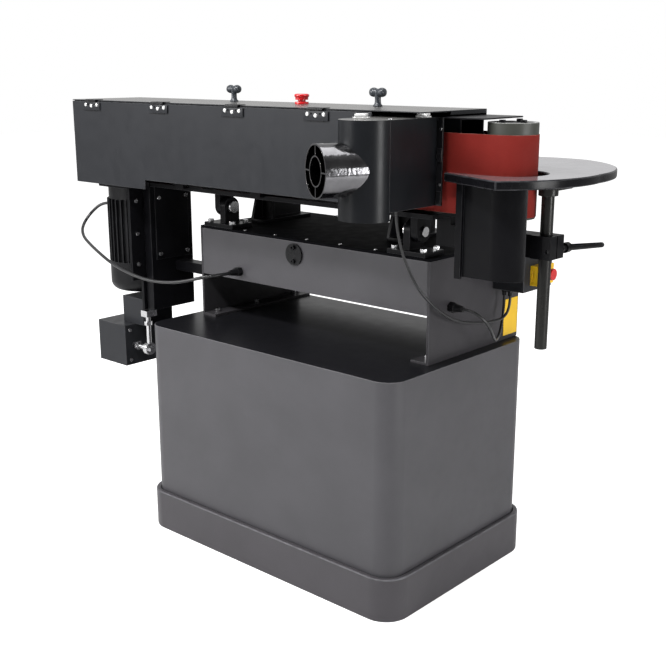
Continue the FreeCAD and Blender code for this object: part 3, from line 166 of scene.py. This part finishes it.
finishes = {
    "cabinet_paint": {"colour": (0.066, 0.064, 0.070), "rough": 0.38, "shine": 0.3, "grain": 420.0,
                      "bump": 0.35, "bumpDepth": 0.0004, "edge": (0.16, 0.16, 0.17), "edgeShare": 0.5},
    # painted shade: the cabinet's top skin is darker than its sides, as shade under the saddle
    "shaded_cabinet_top": {"colour": (0.010, 0.010, 0.012), "rough": 0.3, "roughSpread": 0.02, "shine": 0.2,
                    "grain": 420.0, "bump": 0.12, "bumpDepth": 0.0004, "edge": (0.10, 0.10, 0.10),
                    "edgeShare": 0.5},
    "plinth_paint": {"colour": (0.060, 0.056, 0.062), "rough": 0.38, "shine": 0.3, "grain": 420.0,
                     "bump": 0.3, "edge": (0.15, 0.15, 0.16), "edgeShare": 0.7},
    "head_paint": {"colour": (0.021, 0.022, 0.025), "rough": 0.36, "shine": 0.16, "grain": 450.0,
                   "bump": 0.25, "edge": (0.10, 0.10, 0.105), "edgeShare": 0.5},
    "black_paint": {"colour": (0.0045, 0.0045, 0.0055), "rough": 0.34, "shine": 0.1, "grain": 450.0,
                    "bump": 0.25, "edge": (0.05, 0.05, 0.055), "edgeShare": 0.5},
    "hood_paint": {"colour": (0.007, 0.0078, 0.0095), "rough": 0.34, "roughSpread": 0.04, "shine": 0.2,
                   "grain": 320.0, "bump": 0.18, "edge": (0.12, 0.12, 0.12), "edgeShare": 0.5},
    "side_paint": {"colour": (0.042, 0.040, 0.044), "rough": 0.4, "shine": 0.2, "grain": 420.0,
                   "bump": 0.3, "edge": (0.12, 0.12, 0.13), "edgeShare": 0.5},
    # painted sheen: the lid's and hood's top skin is lighter than their sides, as the bright backdrop
    # reflected at a grazing angle
    "sheen_painted_top": {"colour": (0.10, 0.098, 0.095), "rough": 0.26, "roughSpread": 0.02, "shine": 0.5,
                 "grain": 420.0, "bump": 0.06, "blotch": 0.03},
    # the port's near-white edge colour is a painted highlight along its rims
    "port_chrome": {"colour": (0.15, 0.148, 0.155), "metal": 1.0, "rough": 0.12, "roughSpread": 0.05,
                    "grain": 130.0, "bump": 0.35, "bumpDepth": 0.0007, "cloud": 30.0, "blotch": 0.2,
                    "edge": (0.65, 0.63, 0.60), "edgeShare": 1.0},
    "matt_black": {"colour": (0.004, 0.004, 0.005), "rough": 0.75, "shine": 0.03, "grain": 420.0,
                   "bump": 0.3},
    "table_iron": {"colour": (0.004, 0.004, 0.005), "rough": 0.24, "shine": 0.14, "grain": 300.0,
                   "bump": 0.15, "edge": (0.05, 0.05, 0.055)},
    "ground_iron": {"colour": (0.46, 0.45, 0.48), "metal": 0.75, "rough": 0.15, "roughSpread": 0.03,
                    "grain": 500.0, "bump": 0.04, "cloud": 5.0, "blotch": 0.05},
    "bright_steel": {"colour": (0.62, 0.62, 0.63), "metal": 1.0, "rough": 0.25, "grain": 500.0,
                     "bump": 0.1, "blotch": 0.15},
    "white_zinc": {"colour": (0.80, 0.80, 0.79), "metal": 0.3, "rough": 0.3, "grain": 500.0, "bump": 0.1},
    "dark_steel": {"colour": (0.022, 0.022, 0.021), "metal": 0.4, "rough": 0.3, "shine": 0.2, "grain": 400.0,
                   "bump": 0.15},
    "motor_black": {"colour": (0.007, 0.007, 0.008), "rough": 0.34, "shine": 0.2, "grain": 400.0,
                    "bump": 0.35, "edge": (0.05, 0.05, 0.055)},
    "black_plastic": {"colour": (0.006, 0.006, 0.007), "rough": 0.3, "shine": 0.25, "grain": 900.0,
                      "bump": 0.2, "edge": (0.04, 0.04, 0.04)},
    "knob_blue_grey": {"colour": (0.030, 0.035, 0.042), "rough": 0.32, "grain": 600.0, "bump": 0.25,
                       "bumpDepth": 0.0003},
    "red_plastic": {"colour": (0.60, 0.006, 0.010), "rough": 0.22, "coat": 0.4, "grain": 300.0,
                    "bump": 0.04},
    "green_plastic": {"colour": (0.02, 0.26, 0.07), "rough": 0.26, "coat": 0.3, "grain": 300.0,
                      "bump": 0.04},
    "yellow_plastic": {"colour": (0.85, 0.52, 0.01), "rough": 0.35, "grain": 300.0, "bump": 0.05},
    "cable_rubber": {"colour": (0.016, 0.016, 0.017), "rough": 0.34, "grain": 900.0, "bump": 0.2},
    "abrasive_belt": {"colour": (0.165, 0.0115, 0.0085), "rough": 0.7, "roughSpread": 0.08, "shine": 0.15,
                      "grain": 1500.0, "bump": 0.8, "bumpDepth": 0.0005, "speck": (0.25, 0.026, 0.018),
                      "speckShare": 0.6, "blotch": 0.14, "cloud": 14.0, "grainDetail": 3.0,
                      "edge": (0.42, 0.20, 0.16), "edgeShare": 0.9},
    # the drum rubber's light edge colour is a painted highlight along the drum's rims
    "drum_rubber": {"colour": (0.034, 0.036, 0.029), "rough": 0.5, "grain": 200.0, "bump": 0.2,
                    "edge": (0.30, 0.30, 0.29), "edgeShare": 0.9},
}
finish = {name: makeFinish(name, settings) for name, settings in finishes.items()}
print("finishes made")


# Each route's points are in metres, and the cable is a smooth line drawn to them.
# A cable that crosses the tilt joint has bendStart and bendEnd listed, but nothing reads them: its tube is
# laid as one fixed piece.
motorCable = {
    "points": [
        (-0.748, -0.060, 0.762), (-0.792, -0.060, 0.762), (-0.826, -0.078, 0.733),
        (-0.824, -0.112, 0.698), (-0.786, -0.138, 0.678), (-0.727, -0.160, 0.666),
        (-0.652, -0.185, 0.654), (-0.572, -0.204, 0.637), (-0.490, -0.213, 0.624),
        (-0.408, -0.215, 0.616), (-0.332, -0.211, 0.621), (-0.275, -0.204, 0.633),
        (-0.238, -0.192, 0.644), (-0.213, -0.164, 0.648), (-0.213, -0.128, 0.648)],
    "bendStart": (-0.748, -0.060, 0.762),
    "bendEnd": (-0.213, -0.128, 0.648),
    "diameter": 0.008,
    "length": 0.80,
}
headLead = {
    "points": [
        (0.322, -0.172, 0.867), (0.322, -0.172, 0.837), (0.319, -0.161, 0.803),
        (0.319, -0.147, 0.764), (0.329, -0.136, 0.724), (0.346, -0.125, 0.687),
        (0.363, -0.104, 0.656), (0.370, -0.070, 0.630), (0.370, -0.028, 0.609),
        (0.371, 0.012, 0.597), (0.376, 0.050, 0.590), (0.382, 0.086, 0.587),
        (0.385, 0.124, 0.586), (0.386, 0.146, 0.594), (0.386, 0.158, 0.612),
        (0.386, 0.158, 0.634)],
    "bendStart": (0.35, -0.12, 0.867),
    "bendEnd": (0.37, -0.06, 0.63),
    "diameter": 0.006,
    "length": 0.535,
}
sideLead = {                    # stays with the stand
    "points": [
        (0.385, -0.020, 0.634), (0.406, -0.020, 0.634), (0.424, -0.015, 0.624),
        (0.434, -0.003, 0.608), (0.433, 0.014, 0.590), (0.424, 0.038, 0.570),
        (0.409, 0.068, 0.554), (0.394, 0.098, 0.546), (0.384, 0.122, 0.550),
        (0.377, 0.140, 0.564), (0.373, 0.152, 0.586), (0.371, 0.158, 0.612),
        (0.371, 0.158, 0.634)],
    "diameter": 0.006,
    "length": 0.31,
}
tubeSides = 14
leastAcross = 0.05              # a side vector shorter than this is nearly along the cable


def routeCurve(name, settings, thick):
    data = bpy.data.curves.new(name, "CURVE")
    data.dimensions = "3D"
    data.resolution_u = 10
    data.bevel_resolution = 5
    data.use_fill_caps = True
    data.bevel_depth = settings["diameter"] / 2 if thick else 0.0
    line = data.splines.new("NURBS")
    line.points.add(len(settings["points"]) - 1)
    for point, place in zip(line.points, settings["points"]):
        point.co = (*place, 1.0)
    line.order_u = 3
    line.use_endpoint_u = True
    return bpy.data.objects.new(name, data)


def routeLine(name, settings):
    curve = routeCurve(name, settings, False)
    scene.collection.objects.link(curve)
    mesh = bpy.data.meshes.new_from_object(curve)
    line = [v.co.copy() for v in mesh.vertices]
    bpy.data.objects.remove(curve)
    bpy.data.meshes.remove(mesh)
    return line


def ringEdges(ring):
    found = set(ring)
    return {e for v in ring for e in v.link_edges if e.other_vert(v) in found}


def cableTube(name, settings):
    line = routeLine(name + "Line", settings)
    bm = bmesh.new()
    rings = []
    side = Vector((0, 0, 1))
    for i, place in enumerate(line):
        ahead = line[min(i + 1, len(line) - 1)] - line[max(i - 1, 0)]
        ahead.normalize()
        side = side - ahead * side.dot(ahead)
        if side.length < leastAcross:
            side = ahead.orthogonal()
        side.normalize()
        turn = Matrix((side, ahead.cross(side), ahead)).transposed().to_4x4()
        ring = bmesh.ops.create_circle(bm, cap_ends=False, segments=tubeSides,
                                       radius=settings["diameter"] / 2,
                                       matrix=Matrix.Translation(place) @ turn)
        rings.append(ring["verts"])
    for first, second in zip(rings, rings[1:]):
        edges = [e for ring in (first, second) for e in ringEdges(ring)]
        bmesh.ops.bridge_loops(bm, edges=edges)
    bmesh.ops.holes_fill(bm, edges=[e for e in bm.edges if e.is_boundary])
    bmesh.ops.recalc_face_normals(bm, faces=bm.faces)
    mesh = bpy.data.meshes.new(name)
    bm.to_mesh(mesh)
    bm.free()
    for face in mesh.polygons:
        face.use_smooth = len(face.vertices) == 4
    mesh.materials.append(finish["cable_rubber"])
    tube = bpy.data.objects.new(name, mesh)
    scene.collection.objects.link(tube)
    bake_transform(tube)
    return tube


def cableCurve(name, settings):
    cable = routeCurve(name, settings, True)
    cable.data.materials.append(finish["cable_rubber"])
    scene.collection.objects.link(cable)
    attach(cable, "stand")
    return cable


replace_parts(cableTube("motorCable", motorCable), "motor_cable")
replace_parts(cableTube("headLead", headLead), "head_lead")
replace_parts(cableCurve("sideLead", sideLead), "side_lead")
print("cables laid")


# Every sheet, casting and fastener is a copy of its CAD node with rounded edges.
rounding = {
    "mergeDistance": 0.00002,
    "flatAngle": radians(0.5),  # faces that meet at less than this are one face
    "sharpAngle": radians(30),  # edges sharper than this are rounded
    "smoothAngle": radians(40),
    "segments": 2,
    "topDepth": 0.0005,         # how far below the highest point a flat top may lie
    "topSlope": 0.98,
}


# width is the edge rounding in metres, skin a finish other than the slot's, topSkin one for flat tops.
def roundedCopy(node, width, skin=None, topSkin=None):
    bm = bmesh.new()
    bm.from_mesh(frame["nodes"][node].data)
    bmesh.ops.remove_doubles(bm, verts=bm.verts, dist=rounding["mergeDistance"])
    bmesh.ops.dissolve_limit(bm, angle_limit=rounding["flatAngle"], verts=bm.verts, edges=bm.edges)
    edgeMark = bm.faces.layers.float.new("edge")
    folds = [e for e in bm.edges if len(e.link_faces) == 2]
    sharp = [e for e in folds if e.calc_face_angle(0.0) > rounding["sharpAngle"]]
    made = bmesh.ops.bevel(bm, geom=sharp, affect="EDGES", offset=width, offset_type="OFFSET",
                           segments=rounding["segments"], profile=0.5, material=-1, clamp_overlap=True)
    for face in made["faces"]:
        face[edgeMark] = 1.0
    mesh = bpy.data.meshes.new(node + "Rounded")
    bm.to_mesh(mesh)
    bm.free()
    for face in mesh.polygons:
        face.use_smooth = True
    mesh.set_sharp_from_angle(angle=rounding["smoothAngle"])
    mesh.materials.append(finish[skin or slotOf[node]])
    if topSkin:
        mesh.materials.append(finish[topSkin])
        crown = max(v.co.z for v in mesh.vertices) - rounding["topDepth"]
        for face in mesh.polygons:
            level = face.normal.z > rounding["topSlope"]
            face.material_index = 1 if level and face.center.z > crown else 0
    piece = bpy.data.objects.new(node + "Rounded", mesh)
    scene.collection.objects.link(piece)
    normals = piece.modifiers.new("flatFaces", "WEIGHTED_NORMAL")
    normals.keep_sharp = True
    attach(piece, bodyOf[node])
    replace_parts(piece, node)


edgeRounding = {
    "cabinet_shell": 0.003, "cabinet_plinth": 0.003, "saddle_left_side": 0.001, "saddle_right_side": 0.001,
    "saddle_panels": 0.0012, "saddle_top_plate": 0.001, "stand_bolts": 0.0005, "blank_cap": 0.0008,
    "pillow_blocks": 0.0015, "tilt_pins": 0.001, "work_table": 0.002, "work_table_brackets": 0.001,
    "control_box": 0.002, "switch_enclosure": 0.0025, "notice_plate": 0.0002, "cable_glands": 0.0006,
    "head_beam": 0.0012, "rear_panel": 0.0008, "panel_arms": 0.0008, "left_end_cover": 0.001,
    "hinge_leaves": 0.0004, "head_fasteners": 0.0004, "lid": 0.0006, "lid_hinge_pins": 0.0003,
    "dust_hood": 0.0008, "hood_side_panel": 0.0006, "hood_port": 0.0007, "hood_strip": 0.0008,
    "slide_column": 0.001, "connecting_rod": 0.0008, "tilt_lock_arm": 0.001, "tilt_lock_lever": 0.0015,
    "clamp_block": 0.0015, "contour_table": 0.0025, "contour_post": 0.001, "drum_guard": 0.0006,
    "carriage_plate": 0.001, "carriage_bolts": 0.0005, "motor_housing": 0.0004, "motor_fan_cover": 0.0006,
    "terminal_box": 0.002, "belt_frame": 0.001, "gear_box": 0.0012, "crank_shaft": 0.0006,
    "idler_mount": 0.001, "idler_drum": 0.001, "drive_drum": 0.001, "motor_rotor": 0.0008,
    "clamp_lever": 0.0008, "start_button": 0.0008, "stop_button": 0.0012, "selector_knob": 0.001,
    "sanding_belt": 0.0003,
}
skins = {
    "belt_frame": "black_paint", "head_beam": "black_paint", "slide_column": "black_paint",
    "carriage_plate": "black_paint", "gear_box": "head_paint", "left_end_cover": "black_paint",
    "saddle_top_plate": "matt_black", "hood_port": "port_chrome", "pillow_blocks": "black_paint",
    "panel_arms": "black_paint", "work_table_brackets": "black_paint", "saddle_left_side": "side_paint",
    "saddle_right_side": "side_paint", "clamp_block": "black_paint", "drum_guard": "black_paint",
    "dust_hood": "hood_paint", "hood_side_panel": "hood_paint", "terminal_box": "motor_black",
    "contour_post": "dark_steel", "tilt_lock_arm": "black_paint", "idler_mount": "black_paint",
}
# The cabinet's top skin is painted shade under the saddle; the tables' ground tops and the drum's steel top
# are their own finish.
# The lid's and hood's top skin is a painted sheen.
topSkins = {"contour_table": "ground_iron", "work_table": "ground_iron", "dust_hood": "sheen_painted_top",
            "lid": "sheen_painted_top", "idler_drum": "bright_steel", "cabinet_shell": "shaded_cabinet_top"}
for node, width in edgeRounding.items():
    roundedCopy(node, width, skins.get(node), topSkins.get(node))
print("rounded copies made", len(edgeRounding))


# A profile is (radius, distance along the axis) pairs in metres, from one pole to the other.
def turned(bm, profile, centre, axis, steps=36):
    centre, axis = Vector(centre), Vector(axis)
    side = axis.orthogonal().normalized()
    verts = [bm.verts.new(centre + side * radius + axis * along) for radius, along in profile]
    edges = [bm.edges.new(pair) for pair in zip(verts, verts[1:])]
    bmesh.ops.spin(bm, geom=verts + edges, cent=centre, axis=axis, angle=2 * pi, steps=steps,
                   use_merge=True, use_duplicate=False)


poleDistance = 0.00001


def finished(name, bm, skin, body, smoothAngle=45):
    bmesh.ops.remove_doubles(bm, verts=bm.verts, dist=poleDistance)
    bmesh.ops.recalc_face_normals(bm, faces=bm.faces)
    mesh = bpy.data.meshes.new(name)
    bm.to_mesh(mesh)
    bm.free()
    for face in mesh.polygons:
        face.use_smooth = True
    mesh.set_sharp_from_angle(angle=radians(smoothAngle))
    mesh.materials.append(finish[skin])
    piece = bpy.data.objects.new(name, mesh)
    scene.collection.objects.link(piece)
    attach(piece, body)
    return piece


def roundedBlock(bm, size, place, width, segments):
    made = bmesh.ops.create_cube(bm, size=1.0, matrix=place @ Matrix.Diagonal((*size, 1.0)))
    edges = {e for v in made["verts"] for e in v.link_edges}
    bmesh.ops.bevel(bm, geom=list(edges), affect="EDGES", offset=width, offset_type="OFFSET",
                    segments=segments, profile=0.5, material=-1, clamp_overlap=True)


def middle(node):
    low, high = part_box(node)
    return [(a + b) / 2 for a, b in zip(low, high)]


latchKnob = {
    "barProfile": [(0, -0.0185), (0.0062, -0.0183), (0.0078, -0.0172), (0.0092, -0.0135), (0.0095, -0.0105),
                   (0.0090, -0.0070), (0.0076, -0.0030), (0.0072, 0.0), (0.0076, 0.0030), (0.0090, 0.0070),
                   (0.0095, 0.0105), (0.0092, 0.0135), (0.0078, 0.0172), (0.0062, 0.0183), (0, 0.0185)],
    "barHeight": 0.0285,        # above the lid
    "barSides": 40,
    "spindleSides": 20,
    "smoothAngle": 60,
    "stemProfile": [(0, 0.0003), (0.0095, 0.0003), (0.0100, 0.0012), (0.0094, 0.0030), (0.0072, 0.0052),
                    (0.0064, 0.0090), (0.0062, 0.0160), (0.0070, 0.0220), (0.0074, 0.0280), (0, 0.0300)],
    "spindleProfile": [(0, -0.006), (0.0039, -0.006), (0.0039, 0.0010), (0, 0.0010)],
}


def makeLatchKnob(node, lidTop, settings):
    bm = bmesh.new()
    x, y, _ = middle(node)
    turned(bm, settings["barProfile"], (x, y, lidTop + settings["barHeight"]), (1, 0, 0),
           settings["barSides"])
    turned(bm, settings["stemProfile"], (x, y, lidTop), (0, 0, 1))
    turned(bm, settings["spindleProfile"], (x, y, lidTop), (0, 0, 1), settings["spindleSides"])
    knob = finished(node + "Moulded", bm, "knob_blue_grey", bodyOf[node],
                    settings["smoothAngle"])
    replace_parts(knob, node)


stopHead = {
    "sides": 48,
    "headProfile": [(0, 0.0220), (0.0128, 0.0219), (0.0148, 0.0213), (0.0160, 0.0202), (0.0164, 0.0188),
                    (0.0164, 0.0166), (0.0158, 0.0156), (0.0146, 0.0150), (0.0143, 0.0140), (0.0143, 0.0096),
                    (0.0138, 0.0092), (0.0086, 0.0092), (0.0086, -0.003), (0, -0.003)],
    "collarProfile": [(0.0095, 0.0), (0.0150, 0.0), (0.0153, 0.0006), (0.0153, 0.0040), (0.0147, 0.0048),
                      (0.0095, 0.0048)],
}


def makeStopHead(lidTop, settings):
    x, y, _ = middle("estop_button")
    bm = bmesh.new()
    turned(bm, settings["headProfile"], (x, y, lidTop), (0, 0, 1), settings["sides"])
    head = finished("estopHeadMoulded", bm, "red_plastic", bodyOf["estop_button"])
    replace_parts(head, "estop_button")
    bm = bmesh.new()
    ring = settings["collarProfile"]
    turned(bm, ring + ring[:1], (x, y, lidTop), (0, 0, 1), settings["sides"])
    collar = finished("estopCollarMoulded", bm, "red_plastic", bodyOf["estop_collar"])
    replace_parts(collar, "estop_collar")


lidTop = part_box("lid")[1][2]
makeLatchKnob("latch_knob_left", lidTop, latchKnob)
makeLatchKnob("latch_knob_right", lidTop, latchKnob)
makeStopHead(lidTop, stopHead)

# Long hinge leaves on the rear panel with domed zinc rivets: three a leaf, the middle one lower.
hingeRivets = {                 # metres, each drop below the hinge axis
    "stations": (-0.580, -0.326, -0.078, 0.164),
    "spots": ((-0.022, 0.0100), (0.0, 0.0125), (0.022, 0.0100)),
    "leafSize": (0.066, 0.0012, 0.0190),
    "leafTop": 1.0398,
    "leafRounding": 0.0003,
    "leafSegments": 2,
    "rivetSides": 20,
    "rear": -0.2332,
    "axisHeight": 1.0435,
    "profile": [(0, 0.0), (0.0043, 0.0), (0.0044, 0.0005), (0.0038, 0.0016), (0.0024, 0.0023),
                (0.0016, 0.0024), (0.0014, 0.0019), (0, 0.0018)],
}


def makeHingeRivets(settings):
    bm = bmesh.new()
    size = settings["leafSize"]
    leafY = settings["rear"] + size[1] / 2
    leafZ = settings["leafTop"] - size[2] / 2
    for station in settings["stations"]:
        roundedBlock(bm, size, Matrix.Translation((station, leafY, leafZ)), settings["leafRounding"],
                     settings["leafSegments"])
    finished("hingeLeafPlates", bm, "head_paint", "head")
    bm = bmesh.new()
    for station in settings["stations"]:
        for across, drop in settings["spots"]:
            spot = (station + across, settings["rear"], settings["axisHeight"] - drop)
            turned(bm, settings["profile"], spot, (0, -1, 0), settings["rivetSides"])
    finished("hingeRivetHeads", bm, "white_zinc", "head")


makeHingeRivets(hingeRivets)

# Cast catches on the hood's top, each a pad on a foot.
hoodCatch = {
    "spots": (((0.333, -0.292), 0.4), ((0.392, -0.182), -0.2)),     # place and turn in radians
    "footSize": (0.030, 0.014, 0.003),
    "padSize": (0.022, 0.016, 0.006),
    "rounding": 0.00108,
    "segments": 3,
    "smoothAngle": 60,
}


def makeCatches(settings):
    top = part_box("dust_hood")[1][2]
    bm = bmesh.new()
    foot = settings["footSize"]
    pad = settings["padSize"]
    for (x, y), turn in settings["spots"]:
        for size, rise in ((foot, 0.0), (pad, foot[2])):
            place = Matrix.Translation((x, y, top + rise + size[2] / 2)) @ Matrix.Rotation(turn, 4, "Z")
            roundedBlock(bm, size, place, settings["rounding"], settings["segments"])
    finished("hoodCatches", bm, "white_zinc", "head", settings["smoothAngle"])


makeCatches(hoodCatch)
print("turned and moulded pieces made")


# The backdrop is bright on one side of the room and falls away to the other. The camera sees it,
# and the floor, as white.
studio = {
    "backdrop": (-0.50, 0.80, 0.30),
    "fallFrom": -0.1,
    "fallTo": 0.55,
    "dim": 0.16,
    "bright": 0.66,
    "floorSize": 14.0,
    "floorColour": (0.8, 0.8, 0.8, 1.0),
    "floorRough": 0.9,
    "floorGlow": 0.8,
}
white = (1.0, 1.0, 1.0, 1.0)


def makeStage(settings):
    bm = bmesh.new()
    bmesh.ops.create_grid(bm, x_segments=1, y_segments=1, size=settings["floorSize"])
    mesh = bpy.data.meshes.new("floor")
    bm.to_mesh(mesh)
    bm.free()
    pale = bpy.data.materials.new("floorPale")
    pale.use_nodes = True
    shader = pale.node_tree.nodes["Principled BSDF"]
    shader.inputs["Base Color"].default_value = settings["floorColour"]
    shader.inputs["Roughness"].default_value = settings["floorRough"]
    shader.inputs["Specular IOR Level"].default_value = 0.0
    shader.inputs["Emission Color"].default_value = white
    seen = pale.node_tree.nodes.new("ShaderNodeLightPath")
    glow = pale.node_tree.nodes.new("ShaderNodeMath")
    glow.operation = "MULTIPLY"
    glow.inputs[1].default_value = settings["floorGlow"]
    pale.node_tree.links.new(seen.outputs["Is Camera Ray"], glow.inputs[0])
    pale.node_tree.links.new(glow.outputs[0], shader.inputs["Emission Strength"])
    mesh.materials.append(pale)
    floor = bpy.data.objects.new("floor", mesh)
    scene.collection.objects.link(floor)


def makeWorld(settings):
    world = bpy.data.worlds.new("studio")
    world.use_nodes = True
    nodes = world.node_tree.nodes
    links = world.node_tree.links
    place = nodes.new("ShaderNodeTexCoord")
    facing = nodes.new("ShaderNodeVectorMath")
    facing.operation = "DOT_PRODUCT"
    facing.inputs[1].default_value = settings["backdrop"]
    links.new(place.outputs["Generated"], facing.inputs[0])
    fall = nodes.new("ShaderNodeMapRange")
    fall.inputs["From Min"].default_value = settings["fallFrom"]
    fall.inputs["From Max"].default_value = settings["fallTo"]
    fall.inputs["To Min"].default_value = settings["dim"]
    fall.inputs["To Max"].default_value = settings["bright"]
    links.new(facing.outputs["Value"], fall.inputs["Value"])
    seen = nodes.new("ShaderNodeLightPath")
    either = nodes.new("ShaderNodeMix")
    either.data_type = "FLOAT"
    links.new(seen.outputs["Is Camera Ray"], either.inputs[0])
    links.new(fall.outputs["Result"], either.inputs[2])
    either.inputs[3].default_value = 1.0
    background = nodes["Background"]
    background.inputs["Color"].default_value = white
    links.new(either.outputs[0], background.inputs["Strength"])
    scene.world = world


lights = {                      # places and sizes in metres, power in watts
    "rearSoftbox": {"place": (-2.3, -2.9, 1.9), "aim": (-0.1, 0.0, 0.6), "size": (1.8, 1.6), "power": 84},
    "rightSoftbox": {"place": (3.2, 0.1, 0.9), "aim": (0.3, 0.0, 0.4), "size": (0.9, 1.2), "power": 44},
    "topSoftbox": {"place": (0.3, 0.3, 3.4), "aim": (0.0, 0.0, 0.5), "size": (2.2, 1.6), "power": 34},
    "leftStrip": {"place": (-0.95, -3.0, 1.5), "aim": (0.3, -0.2, 0.8), "size": (0.10, 2.4), "power": 13},
    "highStrip": {"place": (0.1, -1.6, 2.6), "aim": (0.32, -0.4, 0.94), "size": (2.0, 0.20), "power": 60},
}


def makeLights(settings):
    for name, light in settings.items():
        data = bpy.data.lights.new(name, "AREA")
        data.shape = "RECTANGLE"
        data.size, data.size_y = light["size"]
        data.energy = light["power"]
        lamp = bpy.data.objects.new(name, data)
        lamp.location = light["place"]
        aim = Vector(light["aim"]) - Vector(light["place"])
        lamp.rotation_euler = aim.to_track_quat("-Z", "Y").to_euler()
        scene.collection.objects.link(lamp)


makeStage(studio)
makeWorld(studio)
makeLights(lights)
scene.view_settings.view_transform = "Standard"
print("floor and light set")
